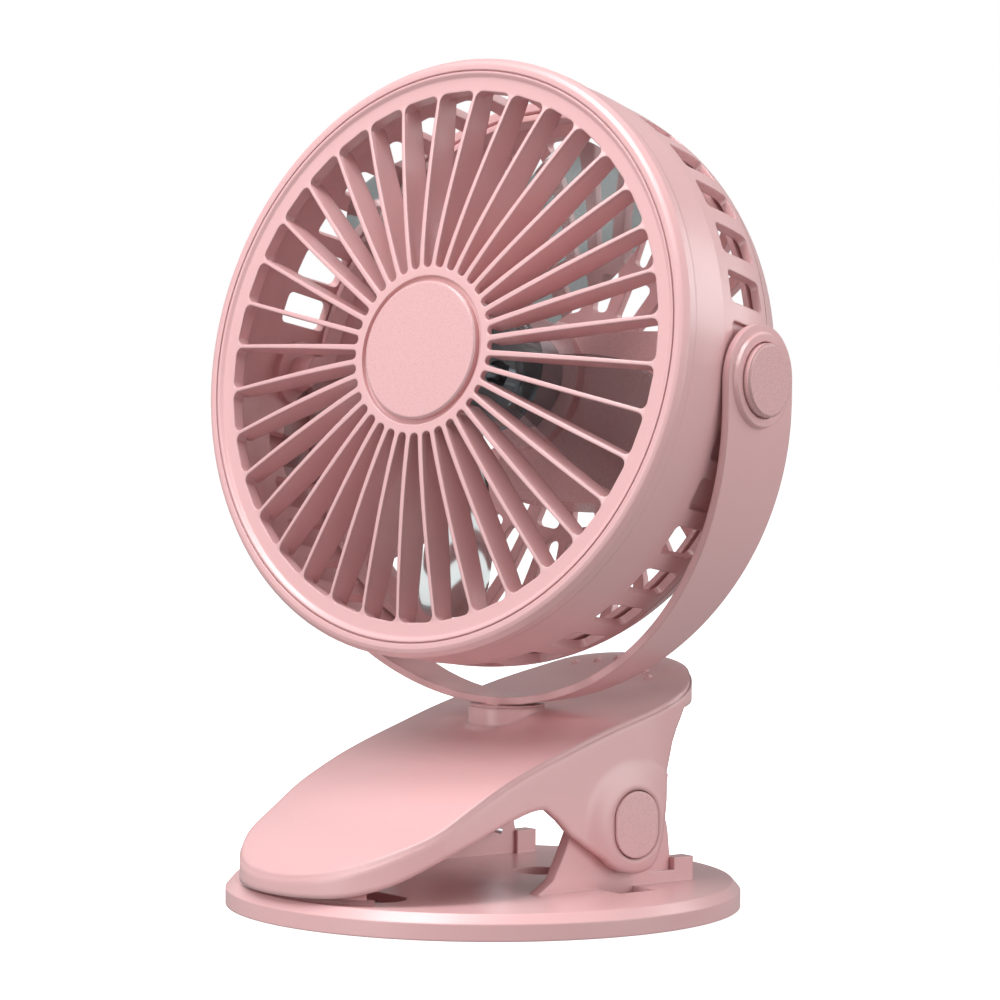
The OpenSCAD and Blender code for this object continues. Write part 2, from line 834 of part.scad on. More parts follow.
module band_front_view() {
    difference() {
        union() {
            translate([0, -yoke_fall])
                circle(r = yoke_r, $fn = 120);
            translate([-yoke_r, -yoke_fall])
                square([2 * yoke_r, yoke_fall + yoke_half]);
        }
        translate([0, -yoke_fall])
            circle(r = arm_in, $fn = 120);
        translate([-arm_in, -yoke_fall])
            square([2 * arm_in, yoke_fall + yoke_half + over]);
        translate([-yoke_r - over, yoke_half])
            square([2 * (yoke_r + over), 2 * yoke_r]);
    }
}

module band_side_view() {
    circle(r = yoke_half);
    polygon(concat(
        [for (i = [0:band_steps]) let (z = i / band_steps * yoke_drop) [band_half(z), -z]],
        [[0, -yoke_drop - over]],
        [for (i = [band_steps:-1:0]) let (z = i / band_steps * yoke_drop) [-band_half(z), -z]]
    ));
}

module yoke() {
    color(pink)
    yoke_place()
    difference() {
        union() {
            intersection() {
                translate([0, yoke_half + over, 0])
                    rotate([90, 0, 0])
                    linear_extrude(2 * (yoke_half + over))
                    band_front_view();
                along_x(-yoke_r - over, yoke_r + over)
                    band_side_view();
            }
            for (side = [-1, 1]) {
                on_side(side)
                    translate([yoke_r - bite, 0, 0])
                    rotate([0, 90, 0])
                    cylinder(r1 = step_r, r2 = step_r - step_t / 2, h = step_t + bite);
            }
            translate([0, 0, spigot_low - pivot_z])
                cylinder(r = spigot_r, h = pivot_z - yoke_drop - spigot_low + yoke_t);
        }
        for (side = [-1, 1]) {
            on_side(side)
                translate([yoke_r, 0, 0])
                rotate([0, 90, 0])
                cylinder(r = cap_r + cap_gap, h = step_t + over);
        }
        translate([-yoke_r - over, 0, 0])
            rotate([0, 90, 0])
            cylinder(r = bush_r + bush_play, h = 2 * (yoke_r + over));
        translate([0, 0, spigot_low - pivot_z - over])
            cylinder(r = small_screw_r, h = swivel_screw_len - retainer_t + over);
    }
}

module swivel_washer() {
    color(steel)
    translate([0, swivel_y, spigot_low - retainer_t])
        difference() {
            cylinder(r = retainer_r, h = retainer_t);
            translate([0, 0, -over])
                cylinder(r = small_screw_r + seat, h = retainer_t + 2 * over);
        }
}

module swivel_screw() {
    color(steel)
    translate([0, swivel_y, spigot_low - retainer_t - small_head_t]) {
        cylinder(r = small_head_r, h = small_head_t);
        cylinder(r = small_screw_r, h = small_head_t + swivel_screw_len - seat);
    }
}

// Tilt joint: a bush on the drum's pad turns in the yoke's arm
module pivot_bush(side) {
    color(steel)
    yoke_place()
        on_side(side)
        translate([pad_face, 0, 0])
        rotate([0, 90, 0])
        difference() {
            cylinder(r = bush_r, h = yoke_r + seat - pad_face);
            translate([0, 0, -over])
                cylinder(r = small_screw_r + seat, h = yoke_r - pad_face + 2 * over);
        }
}

module pivot_screw(side) {
    color(steel)
    yoke_place()
        on_side(side)
        translate([yoke_r + seat, 0, 0])
        rotate([0, 90, 0]) {
            cylinder(r = pivot_head_r, h = pivot_head_t);
            translate([0, 0, -pivot_screw_len])
                cylinder(r = small_screw_r, h = pivot_screw_len);
        }
}

module pivot_cap(side) {
    color(pink_deep)
    yoke_place()
        on_side(side)
        translate([yoke_r, 0, 0])
        rotate([0, 90, 0])
        difference() {
            union() {
                cylinder(r = cap_r, h = cap_t - cap_wall / 2);
                cylinder(r1 = cap_r, r2 = cap_r - cap_wall / 2, h = cap_t);
            }
            translate([0, 0, -over])
                cylinder(r = pivot_head_r + room, h = cap_t - cap_wall + over);
        }
}

// Head's outline: places run round the bend from the drum's side to its back
dome_start = drum_front * (1 - drum_share);
dome_len = dome_start + head_back;
bend_step = 0.01;
function bend_at(z) = asin(min(max((dome_start - z) / dome_len, 0), 1)) / 90;
function dome_r(t) = min(curve(dome_shares, min(max(t, 0), 1)) * rim_r, drum_r);
function dome_z(t) = dome_start - dome_len * sin(90 * t);
function dome_point(t) = [dome_r(t), dome_z(t)];
function out_r(z) = dome_r(bend_at(z));
// The same place, moved in square to the wall
function dome_inner(t, in) =
    let (d = dome_point(min(t + bend_step, 1)) - dome_point(max(t - bend_step, 0)))
    dome_point(t) + in * [d[1], -d[0]] / norm(d);
function head_outline(from, to, inset, n) =
    let (a = bend_at(from), b = bend_at(to))
    [for (i = [0:n]) let (t = a + (b - a) * i / n) dome_inner(t, inset)];

// Slot with round corners that widens outward, as the gap between two ribs
function slot_plan(r1, r2, half1, half2, corner) =
    let (c1 = min(corner, half1 * 0.9), c2 = min(corner, half2 * 0.9))
    concat(
        arc([r1 + c1, -half1 + c1], c1, 180, 270, 3),
        arc([r2 - c2, -half2 + c2], c2, 270, 360, 3),
        arc([r2 - c2, half2 - c2], c2, 0, 90, 3),
        arc([r1 + c1, half1 - c1], c1, 90, 180, 3)
    );

// Windows of the drum's side: the ones that the pod backs are only recesses
rib_pitch = 360 / rib_count;
function window_deg(i) = (i + 0.5) * rib_pitch + rib_turn;
function is_blind(a) = a > 360 - 2.8 * rib_pitch || a < 1.5 * rib_pitch;
function is_pad(a) = abs(a - 180) < 1.1 * rib_pitch;

module window_cut(a, deep) {
    half = drum_r * PI * window_share / rib_count;
    rotate([0, 0, a])
        translate([drum_r - deep, 0, window_front - window_len / 2])
        rotate([0, 90, 0])
        linear_extrude(deep + over)
        polygon(slot_plan(-window_len / 2, window_len / 2, half, half * 0.94, window_corner));
}

module pad_boss(side) {
    on_side(side)
    rotate([0, 90, 0]) {
        translate([0, 0, drum_r - 2 * drum_t])
            cylinder(r = pad_r, h = pad_face - drum_r + 2 * drum_t);
        translate([0, 0, drum_r - drum_t - pivot_screw_len + yoke_t])
            cylinder(r = small_screw_r * 3, h = pivot_screw_len - yoke_t + bite);
    }
}

module drum_case() {
    color(pink)
    head_place()
    difference() {
        union() {
            rotate_extrude($fn = 120)
                polygon(concat(
                    [[drum_r, drum_front]],
                    head_outline(dome_start, -drum_back, 0, 10),
                    [[out_r(-drum_back) - drum_t, -drum_back]],
                    head_outline(-drum_back + drum_t, dome_start, drum_t, 8),
                    [[drum_r - drum_t, drum_front]]
                ));
            intersection() {
                union() {
                    pad_boss(1);
                    pad_boss(-1);
                }
                rotate([0, 90, 0])
                    cylinder(r = pad_r, h = 2 * pad_face, center = true);
            }
        }
        for (i = [0:rib_count - 1]) {
            a = window_deg(i) % 360;
            if (!is_pad(a) && !is_blind(a)) {
                window_cut(a, drum_t * 2.2);
            }
            if (is_blind(a) && abs(a - 360) > rib_pitch && a > rib_pitch / 2) {
                window_cut(a, blind_d + (drum_r - out_r(0)));
            }
        }
        rotate([0, 90, 0])
            translate([0, 0, -2 * drum_r])
            cylinder(r = small_screw_r, h = 4 * drum_r);
    }
}

// Gaps between the ribs of the rear grille
module rear_gap(r1, r2, count, share, turn) {
    for (i = [0:count - 1]) {
        rotate([0, 0, i * 360 / count + turn])
            translate([0, 0, -head_back - over])
            linear_extrude(head_back)
            polygon(slot_plan(r1, r2, r1 * PI / count * share, r2 * PI / count * share, window_corner));
    }
}

module rear_grille() {
    back = -head_back;
    color(pink)
    head_place()
    difference() {
        union() {
            rotate_extrude($fn = 120)
                polygon(concat(
                    head_outline(-grille_back, back, 0, 20),
                    [[0, back], [0, back + shell_t]],
                    head_outline(back, -grille_back - shell_t, shell_t, 18),
                    [[out_r(-grille_back) - shell_t, -grille_back]]
                ));
            rotate_extrude($fn = 120)
                polygon([
                    [out_r(-grille_back) - drum_t - room, -grille_back - shell_t / 2],
                    [out_r(-grille_back) - drum_t - room, -grille_back + spigot_d],
                    [out_r(-grille_back) - 1.8 * drum_t, -grille_back + spigot_d],
                    [out_r(-grille_back) - 1.8 * drum_t, -grille_back - shell_t]
                ]);
        }
        rear_gap(rear_ring_r, rear_slot_out, rib_count, rear_slot_share, rib_pitch / 2 + rib_turn);
        rear_gap(rear_plate_r, rear_ring_r - rear_ring_w, rib_count / 2, inner_slot_share, rib_turn);
        translate([0, button_y, -head_back - over])
            cylinder(r = button_r + bush_play, h = shell_t * 2);
        translate([-socket_w / 2 - seat, socket_y - socket_h / 2 - seat, -head_back - over])
            cube([socket_w + 2 * seat, socket_h + 2 * seat, shell_t * 2]);
        translate([light_x, button_y, -head_back - over])
            cylinder(r = light_r, h = shell_t * 2);
    }
}

// Front edge of the vanes: height of the dome at a radius
function dome_front(r) =
    let (s = (r - slot_in_r) / (slot_out_r - slot_in_r))
    slot_z + dome_rise * (1 - pow(max(s, 0), 1.5));
function vane_depth(s) = vane_d * (0.72 + 0.28 * sin(180 * pow(s, 0.8)));
dome_steps = 12;

function dome_line(inset, n) =
    [for (i = [0:n]) let (r = slot_in_r + (slot_out_r - slot_in_r) * i / n) [r, dome_front(r) - inset]];

module front_shell() {
    rotate_extrude($fn = 120)
        polygon(concat(
            [[0, hub_z - groove_d - hub_ring_t], [0, hub_z - groove_d]],
            [[groove_r, hub_z - groove_d], [groove_r, hub_z]],
            dome_line(0, dome_steps),
            [[flat_r, slot_z], [flat_r + step_drop, front_z - seat], [seam_r - seam_w, front_z]],
            [[seam_r - seam_w, front_z - seam_d], [seam_r, front_z - seam_d], [seam_r, front_z]],
            [[rim_r - 2 * rim_lip, front_z], [rim_r - rim_lip, front_z - rim_lip / 2]],
            [[rim_r, front_z - 2 * rim_lip], [rim_r, drum_front], [drum_r - drum_t - room, drum_front]],
            [[drum_r - drum_t - room, drum_front - spigot_d]],
            [[drum_r - 2 * drum_t, drum_front - spigot_d], [drum_r - 2 * drum_t, drum_front]],
            [[slot_out_r, drum_front]],
            [for (i = [dome_steps:-1:0]) let (
                r = slot_in_r + (slot_out_r - slot_in_r) * i / dome_steps)
                [r, dome_front(r) - (i == dome_steps ? slot_z - drum_front : web_t)]]
        ));
}

function vane_outline() = concat(
    [for (i = [0:8]) let (s = i / 8, r = slot_in_r - bite + (slot_out_r - slot_in_r + 2 * bite) * s)
        [r, dome_front(min(max(r, slot_in_r), slot_out_r)) - web_t / 2]],
    [for (i = [8:-1:0]) let (s = i / 8, r = slot_in_r - bite + (slot_out_r - slot_in_r + 2 * bite) * s)
        [r, dome_front(min(max(r, slot_in_r), slot_out_r)) - vane_depth(s)]]
);

module front_grille() {
    color(pink)
    head_place()
    union() {
        difference() {
            front_shell();
            for (i = [0:vane_count - 1]) {
                rotate([0, 0, (i + 0.5) * 360 / vane_count + vane_turn])
                    translate([0, 0, drum_front - over])
                    linear_extrude(hub_z)
                    polygon(slot_plan(slot_in_r, slot_out_r,
                        slot_in_r * PI / vane_count - vane_t / 2,
                        slot_out_r * PI / vane_count - vane_t / 2, slot_corner));
            }
        }
        for (i = [0:vane_count - 1]) {
            rotate([0, 0, i * 360 / vane_count + vane_turn])
                translate([0, vane_t / 2, 0])
                rotate([90, 0, 0])
                linear_extrude(vane_t)
                polygon(vane_outline());
        }
    }
}

module hub_disc() {
    color(pink_deep)
    head_place()
    translate([0, 0, hub_z - groove_d])
        union() {
            cylinder(r = hub_disc_r, h = hub_disc_t, $fn = 96);
            cylinder(r1 = hub_disc_r, r2 = hub_disc_r - seat * 4, h = hub_disc_t + seat * 2, $fn = 96);
        }
}

// Pod: holds the motor on the axis and the cell out to the right
module pod_arm(grow, from, to) {
    translate([-grow, 0, 0])
    hull() {
        for (y = [-pod_down + pod_round, pod_up - pod_round]) {
            translate([0, y, from])
                cylinder(r = pod_round + grow, h = to - from, $fn = 40);
            translate([pod_reach + grow - pod_round, y, from])
                cylinder(r = pod_round + grow, h = to - from, $fn = 40);
        }
    }
}

// What the drum and the rear grille leave free inside
module inside_shape() {
    rotate_extrude($fn = 96)
        polygon(concat(
            [[0, 0], [out_r(0) - drum_t * 2.2, 0]],
            [for (i = [0:10]) let (
                z = -pod_back * i / 10,
                r = out_r(z - shell_t))
                [max(r - 2 * shell_t - seat, board_r), z]],
            [[0, -pod_back]]
        ));
}

module motor_pod() {
    cell_x = motor_r + 2 * pod_t;
    color(pink_deep)
    head_place()
    difference() {
        union() {
            intersection() {
                pod_arm(0, -pod_back + pod_lid_t, -pod_front);
                inside_shape();
            }
            translate([0, 0, -pod_back + pod_lid_t])
                cylinder(r = board_r + pod_t, h = pod_back - pod_lid_t - pod_front + pod_t);
        }
        translate([0, 0, motor_back])
            cylinder(r = motor_r, h = motor_len + over);
        translate([0, 0, -pod_back - over])
            cylinder(r = board_r + seat, h = pod_back + motor_back - pod_t / 2 + over);
        translate([0, 0, -pod_back])
            cylinder(r = shaft_r * 3, h = pod_back);
        translate([cell_x, -pod_down + pod_t + cell_gap, -pod_back - over])
            cube([cell_len + cell_gap, cell_h + cell_gap, pod_back - pod_front - pod_t + over]);
    }
}
module pod_lid() {
    color(pink_deep)
    head_place()
    difference() {
        intersection() {
            pod_arm(0, -pod_back, -pod_back + pod_lid_t - seat);
            inside_shape_back();
        }
        translate([0, 0, -pod_back - over])
            cylinder(r = board_r + pod_t, h = pod_lid_t + 2 * over);
    }
}

module inside_shape_back() {
    translate([0, 0, -pod_back - over])
        cylinder(r = out_r(-pod_back - shell_t) - 2 * shell_t, h = pod_lid_t + 2 * over);
}

module motor_can() {
    color(steel)
    head_place()
    difference() {
        union() {
            translate([0, 0, motor_back])
                cylinder(r = motor_r, h = motor_len);
            translate([0, 0, motor_front - bite])
                cylinder(r = 4 * shaft_r, h = motor_nose_t + bite);
        }
        translate([0, 0, motor_front - 2 * shaft_r])
            cylinder(r = 2 * shaft_r, h = motor_len);
        translate([0, 0, motor_back + 2 * shaft_r])
            cylinder(r = shaft_r + seat, h = motor_len);
    }
}

module motor_bearing() {
    color(dark)
    head_place()
    translate([0, 0, motor_front - 2 * shaft_r])
        difference() {
            cylinder(r = 2 * shaft_r, h = 2 * shaft_r + bearing_proud);
            translate([0, 0, -over])
                cylinder(r = shaft_r + bearing_play, h = 2 * shaft_r + bearing_proud + 2 * over);
        }
}

module motor_shaft() {
    color(steel)
    head_place()
    translate([0, 0, motor_back + 2 * shaft_r])
        cylinder(r = shaft_r, h = fan_front + shaft_proud - motor_back - 2 * shaft_r);
}

// Blade: a cambered, twisted sheet from inside the hub to the tip
function blade_mid(u, v) =
    let (
        r = fan_hub_r - fan_wall + (blade_r - fan_hub_r + fan_wall) * u,
        w = blade_root_w + (blade_tip_w - blade_root_w) * sin(90 * u) * (1 - blade_waist_share * pow(u, 6)),
        pitch = blade_root_deg + (blade_tip_deg - blade_root_deg) * u,
        c = (v - 0.5) * w,
        turn = c * cos(pitch) / r * 180 / PI,
        z = (fan_back + fan_front) / 2 + c * sin(pitch) * blade_flat_share
            + blade_belly * (1 - pow(2 * v - 1, 2)) * (0.3 + u),
        trim = pow(abs(2 * v - 1), 4) * blade_trim * u
    )
    [(r - trim) * cos(turn), (r - trim) * sin(turn), z];

module blade() {
    n = blade_cols + 1;
    m = (blade_rows + 1) * n;
    points = [for (k = [-1, 1]) for (i = [0:blade_rows]) for (j = [0:blade_cols])
        blade_mid(i / blade_rows, j / blade_cols) + [0, 0, k * blade_t / 2]];
    low = [for (i = [0:blade_rows - 1]) for (j = [0:blade_cols - 1]) let (a = i * n + j)
        each [[a, a + n, a + 1], [a + 1, a + n, a + n + 1]]];
    top = [for (f = low) [f[0] + m, f[2] + m, f[1] + m]];
    edge = concat(
        [for (j = [0:blade_cols - 1]) [j, j + 1]],
        [for (i = [0:blade_rows - 1]) [i * n + blade_cols, (i + 1) * n + blade_cols]],
        [for (j = [blade_cols:-1:1]) [blade_rows * n + j, blade_rows * n + j - 1]],
        [for (i = [blade_rows:-1:1]) [i * n, (i - 1) * n]]
    );
    wall = [for (e = edge) each [[e[0], e[1], e[0] + m], [e[1], e[1] + m, e[0] + m]]];
    polyhedron(points, concat(low, top, wall));
}

module fan_blades() {
    color(smoke, 0.75)
    head_place()
    difference() {
        union() {
            translate([0, 0, fan_back])
                cylinder(r = fan_hub_r, h = fan_front - fan_back);
            for (i = [0:blade_count - 1]) {
                rotate([0, 0, i * 360 / blade_count + fan_turn])
                    blade();
            }
        }
        translate([0, 0, fan_back - over])
            cylinder(r = fan_hub_r - fan_wall, h = fan_front - fan_back - 4 * fan_wall + over);
        translate([0, 0, fan_back])
            cylinder(r = shaft_r, h = fan_front);
    }
}

module blade_nut() {
    color(dark)
    head_place()
    translate([0, 0, fan_front])
        difference() {
            union() {
                cylinder(r = nut_r, h = nut_t * 0.6);
                cylinder(r1 = nut_r, r2 = nut_r * 0.6, h = nut_t);
            }
            translate([0, 0, -over])
                cylinder(r = shaft_r, h = shaft_proud + over);
        }
}

module flat_cell() {
    cell_x = motor_r + 2 * pod_t + cell_gap / 2;
    color("#8FA3B8")
    head_place()
    translate([cell_x, -pod_down + pod_t + cell_gap * 1.5, -pod_front - pod_t - cell_t])
        cube([cell_len, cell_h, cell_t]);
}

module circuit_board() {
    color("#2F6B4A")
    head_place()
    translate([0, 0, -board_back])
        union() {
            cylinder(r = board_r, h = board_t);
            translate([-button_r / 2, button_y - button_r / 2, -switch_t])
                cube([button_r, button_r, switch_t + bite]);
        }
}

module charge_socket() {
    color(steel)
    head_place()
    translate([-socket_w / 2, socket_y - socket_h / 2, -head_back + seat])
        difference() {
            cube([socket_w, socket_h, head_back - seat - board_back]);
            translate([socket_wall, socket_wall, -over])
                cube([socket_w - 2 * socket_wall, socket_h - 2 * socket_wall, socket_deep + over]);
        }
}

module status_light() {
    color("#E8F4FF")
    head_place()
    translate([light_x, button_y, -head_back])
        cylinder(r = light_r - bush_play, h = shell_t);
}

module power_button() {
    color(pink_deep)
    head_place()
    translate([0, button_y, -head_back - button_proud]) {
        cylinder(r = button_r, h = button_proud + shell_t);
        cylinder(r = button_r / 2, h = button_proud + head_back - board_back - switch_t - button_travel);
    }
}

base_plate();
base_weight();
base_foot();
base_jaw_pad();
clip_lever();
lever_jaw_pad();
hinge_pin(1);  // hinge_pin_right
hinge_pin(-1);  // hinge_pin_left
hinge_cap(1);  // hinge_cap_right
hinge_cap(-1);  // hinge_cap_left
spring_sleeve(1);  // spring_sleeve_right
spring_sleeve(-1);  // spring_sleeve_left
clip_spring(1);  // clip_spring_right
clip_spring(-1);  // clip_spring_left
swivel_slip_washer();
yoke();
swivel_washer();
swivel_screw();
pivot_cap(1);  // pivot_cap_right
pivot_cap(-1);  // pivot_cap_left
pivot_bush(1);  // pivot_bush_right
pivot_bush(-1);  // pivot_bush_left
pivot_screw(1);  // pivot_screw_right
pivot_screw(-1);  // pivot_screw_left
drum_case();
rear_grille();
front_grille();
hub_disc();
motor_pod();
pod_lid();
motor_can();
motor_bearing();
motor_shaft();
fan_blades();
blade_nut();
flat_cell();
circuit_board();
charge_socket();
status_light();
power_button();
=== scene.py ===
# %% [markdown]
# A clip-on desk fan, dressed for its portrait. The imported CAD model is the
# frame: its pieces keep their places, and this file gives them their finishes,
# a few finer surfaces, the lights and the camera.

# %% Load the frame
import json
import math

import bmesh
import bpy
import numpy as np
from mathutils import Matrix, Vector
from mathutils.bvhtree import BVHTree


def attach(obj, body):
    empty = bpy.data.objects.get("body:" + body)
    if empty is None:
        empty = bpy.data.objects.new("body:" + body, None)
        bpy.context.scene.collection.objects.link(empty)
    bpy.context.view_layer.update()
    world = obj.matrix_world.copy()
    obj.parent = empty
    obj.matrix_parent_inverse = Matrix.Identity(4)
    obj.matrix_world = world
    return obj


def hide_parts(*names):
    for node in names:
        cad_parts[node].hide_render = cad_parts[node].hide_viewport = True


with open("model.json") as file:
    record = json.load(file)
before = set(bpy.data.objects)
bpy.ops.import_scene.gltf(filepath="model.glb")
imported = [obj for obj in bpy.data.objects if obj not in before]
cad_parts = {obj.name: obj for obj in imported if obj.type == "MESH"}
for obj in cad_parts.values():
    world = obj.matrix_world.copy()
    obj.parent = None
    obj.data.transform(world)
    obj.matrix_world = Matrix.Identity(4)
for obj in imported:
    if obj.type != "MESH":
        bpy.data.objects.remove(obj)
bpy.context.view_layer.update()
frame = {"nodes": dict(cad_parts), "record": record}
MM = 0.001

# %% [markdown]
# The head of the fan is turned on its clip and looks a little upward. A fan
# wheel could be drawn already turned, but it is far simpler round its own axis.
# So it is drawn in the head's own frame, where Z is the blades' axis, and one
# matrix carries it into the row's frame.

# %% The head's own frame
PIVOT = np.array([0.0, 7.0, 127.523])  # where the head tilts, in mm
TURN, TILT = math.radians(14), math.radians(10.8)
SPIN = np.array([[math.cos(TURN), -math.sin(TURN), 0],
                 [math.sin(TURN), math.cos(TURN), 0],
                 [0, 0, 1]])
TIP = np.array([[1, 0, 0],
                [0, math.sin(TILT), -math.cos(TILT)],
                [0, math.cos(TILT), math.sin(TILT)]])
HEAD = SPIN @ TIP


def to_row(p):
    """Points in the head's frame, in mm, to the row's frame, in metres."""
    return (np.asarray(p) @ HEAD.T + PIVOT) * MM


print("the blades' axis is", (HEAD @ [0, 0, 1]).round(3))

# %% [markdown]
# Every new piece is a grid of points. Two helpers turn grids into meshes: one
# joins the grid's points with four-sided faces, the other joins several grids
# into one piece, welds the points that meet and makes the faces point outward.

# %% Mesh helpers
WELD = 1e-6  # metres


def grid_faces(rows, cols, wrap, start):
    """Four-sided faces between neighbours of a grid of rows by cols points, whose
    first point has the number start. wrap joins the last column to the first."""
    i = np.arange(rows - 1)[:, None]
    j = np.arange(cols if wrap else cols - 1)[None, :]
    k = (j + 1) % cols
    quad = np.stack([i * cols + j, i * cols + k, (i + 1) * cols + k, (i + 1) * cols + j], -1)
    return quad.reshape(-1, 4) + start


def make_piece(name, grids, body, finish, sharp=40):
    """Joins grids into one smooth mesh that rides on body. Each grid is an array of
    rows x cols points in metres with its wrap. Edges over sharp degrees stay sharp."""
    points, faces, start = [], [], 0
    for pts, wrap in grids:
        rows, cols = pts.shape[:2]
        faces.append(grid_faces(rows, cols, wrap, start))
        points.append(pts.reshape(-1, 3))
        start += rows * cols
    mesh = bpy.data.meshes.new(name)
    mesh.from_pydata(np.concatenate(points).tolist(), [], np.concatenate(faces).tolist())
    bm = bmesh.new()
    bm.from_mesh(mesh)
    bmesh.ops.remove_doubles(bm, verts=bm.verts, dist=WELD)
    bmesh.ops.dissolve_degenerate(bm, edges=bm.edges, dist=WELD)
    bmesh.ops.recalc_face_normals(bm, faces=bm.faces)
    bm.to_mesh(mesh)
    bm.free()
    mesh.polygons.foreach_set("use_smooth", [True] * len(mesh.polygons))
    mesh.set_sharp_from_angle(angle=math.radians(sharp))
    mesh.materials.append(finish)
    piece = bpy.data.objects.new(name, mesh)
    bpy.context.scene.collection.objects.link(piece)
    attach(piece, body)
    print(name, len(mesh.polygons), "faces")
    return piece


# %% [markdown]
# Colours are written as the sRGB hex values that a picture editor shows, and
# one function turns them to the linear numbers that the shader wants. One more
# function adds any shader node with its settings and its links, and the last
# starts a material. A number that is the same all over a surface goes straight
# onto the shader's own socket.

# %% Colour and node helpers
# The Mix node has sockets for numbers, vectors and colours. These are the
# places of its factor, its two colours and the mixed colour.
FACTOR, FIRST, SECOND, MIXED = 0, 6, 7, 2


def linear(hexa):
    """sRGB hex text to linear RGBA: each channel is undone by the sRGB curve."""
    c = np.array([int(hexa[i:i + 2], 16) for i in (1, 3, 5)]) / 255
    lin = np.where(c <= 0.04045, c / 12.92, ((c + 0.055) / 1.055) ** 2.4)
    return (*lin.tolist(), 1.0)


def add(tree, kind, settings=(), **links):
    """Adds a node, sets its properties or sockets by name, and links its inputs."""
    node = tree.nodes.new(kind)
    for key, value in dict(settings).items():
        if key in node.inputs:
            node.inputs[key].default_value = value
        else:
            setattr(node, key, value)
    for key, source in links.items():
        tree.links.new(source, node.inputs[key.replace("_", " ")])
    return node


def start_finish(name, settings):
    """A new material, its tree, its Principled shader with settings, and the Object
    coordinates that its patterns read."""
    mat = bpy.data.materials.new(name)
    mat.use_nodes = True
    tree = mat.node_tree
    tree.nodes.clear()
    shader = add(tree, "ShaderNodeBsdfPrincipled", settings)
    add(tree, "ShaderNodeOutputMaterial", Surface=shader.outputs["BSDF"])
    place = add(tree, "ShaderNodeTexCoord").outputs["Object"]
    return mat, tree, shader, place


print("white in linear numbers:", linear("#FFFFFF"))

# %% [markdown]
# The housing is ABS, moulded in a mould whose steel was spark-eroded to a fine
# satin grain, so its highlights are broad and a little broken. The grain could
# be cut into the mesh, but it is far finer than any face, so noise drives the
# roughness and a bump. The real grain is about 0.05 mm; it is drawn at 0.35 mm
# so that it shows at all. Moulded edges are rounded, which gives each a soft
# bright line: a Bevel node rounds them in the shading and leaves the shape be.

# %% Satin ABS
DRIFT_PER_M = 28.0  # patches of slightly different pink, about 36 mm across
GRAIN_MM, GRAIN_DEEP_MM = 0.35, 0.05


def satin_abs(name, colour, shade, rough=0.3, edge_mm=0.6):
    """Moulded ABS: a slow drift from colour to shade, a grain in the roughness and
    the bump, and edges that look rounded by edge_mm."""
    mat, tree, shader, place = start_finish(name, {
        "IOR": 1.53, "Specular IOR Level": 0.7,
        "Coat Weight": 0.12, "Coat Roughness": 0.18,
        "Subsurface Weight": 0.06, "Subsurface Radius": (0.9, 0.45, 0.4),
        "Subsurface Scale": 1.2 * MM})
    drift = add(tree, "ShaderNodeTexNoise", {"Scale": DRIFT_PER_M, "Detail": 2.0}, Vector=place)
    tint = add(tree, "ShaderNodeMix", {"data_type": "RGBA"})
    tint.inputs[FIRST].default_value = linear(colour)
    tint.inputs[SECOND].default_value = linear(shade)
    tree.links.new(drift.outputs["Fac"], tint.inputs[FACTOR])
    tree.links.new(tint.outputs[MIXED], shader.inputs["Base Color"])
    grain = add(tree, "ShaderNodeTexNoise",
                {"Scale": 1 / (GRAIN_MM * MM), "Detail": 3.0}, Vector=place)
    gloss = add(tree, "ShaderNodeMapRange", {"To Min": rough - 0.06, "To Max": rough + 0.08},
                Value=grain.outputs["Fac"])
    tree.links.new(gloss.outputs["Result"], shader.inputs["Roughness"])
    edge = add(tree, "ShaderNodeBevel", {"samples": 6, "Radius": edge_mm * MM})
    bump = add(tree, "ShaderNodeBump", {"Strength": 0.3, "Distance": GRAIN_DEEP_MM * MM},
               Height=grain.outputs["Fac"], Normal=edge.outputs["Normal"])
    tree.links.new(bump.outputs["Normal"], shader.inputs["Normal"])
    return mat


BLUSH = satin_abs("satin_abs_blush", "#E4B5B6", "#E1B1B2")
BLUSH_TRIM = satin_abs("satin_abs_blush_trim", "#E2B3B4", "#DFAEAF", rough=0.27)
BLUSH_SOFT = satin_abs("satin_abs_blush_soft_edges", "#E4B5B6", "#E1B1B2", edge_mm=1.8)
print("pink finishes:", BLUSH.name, BLUSH_TRIM.name, BLUSH_SOFT.name)

# %% [markdown]
# The blades are a clear styrene tinted smoky grey: light goes through them
# dimmed, and their faces are polished with faint flow marks. Alpha could fade
# them, but only transmission bends and dims what stands behind. Styrene bends
# light by 1.59. It is set to 1.2, so that what stands behind the blades stays
# nearly in its place.

# %% Smoky clear styrene
FLOW_PER_M = 60.0  # flow marks about 17 mm across


def smoky_clear(name, colour, shade):
    """Tinted clear plastic: full transmission, flow marks in the tint and the roughness."""
    mat, tree, shader, place = start_finish(name, {"IOR": 1.2, "Transmission Weight": 1.0})
    flow = add(tree, "ShaderNodeTexNoise", {"Scale": FLOW_PER_M, "Detail": 2.0}, Vector=place)
    tint = add(tree, "ShaderNodeMix", {"data_type": "RGBA"})
    tint.inputs[FIRST].default_value = linear(colour)
    tint.inputs[SECOND].default_value = linear(shade)
    tree.links.new(flow.outputs["Fac"], tint.inputs[FACTOR])
    tree.links.new(tint.outputs[MIXED], shader.inputs["Base Color"])
    gloss = add(tree, "ShaderNodeMapRange", {"To Min": 0.04, "To Max": 0.12},
                Value=flow.outputs["Fac"])
    tree.links.new(gloss.outputs["Result"], shader.inputs["Roughness"])
    return mat


SMOKE = smoky_clear("smoky_clear_styrene", "#CBD1D1", "#D3D8D8")
print("blade finish:", SMOKE.name)

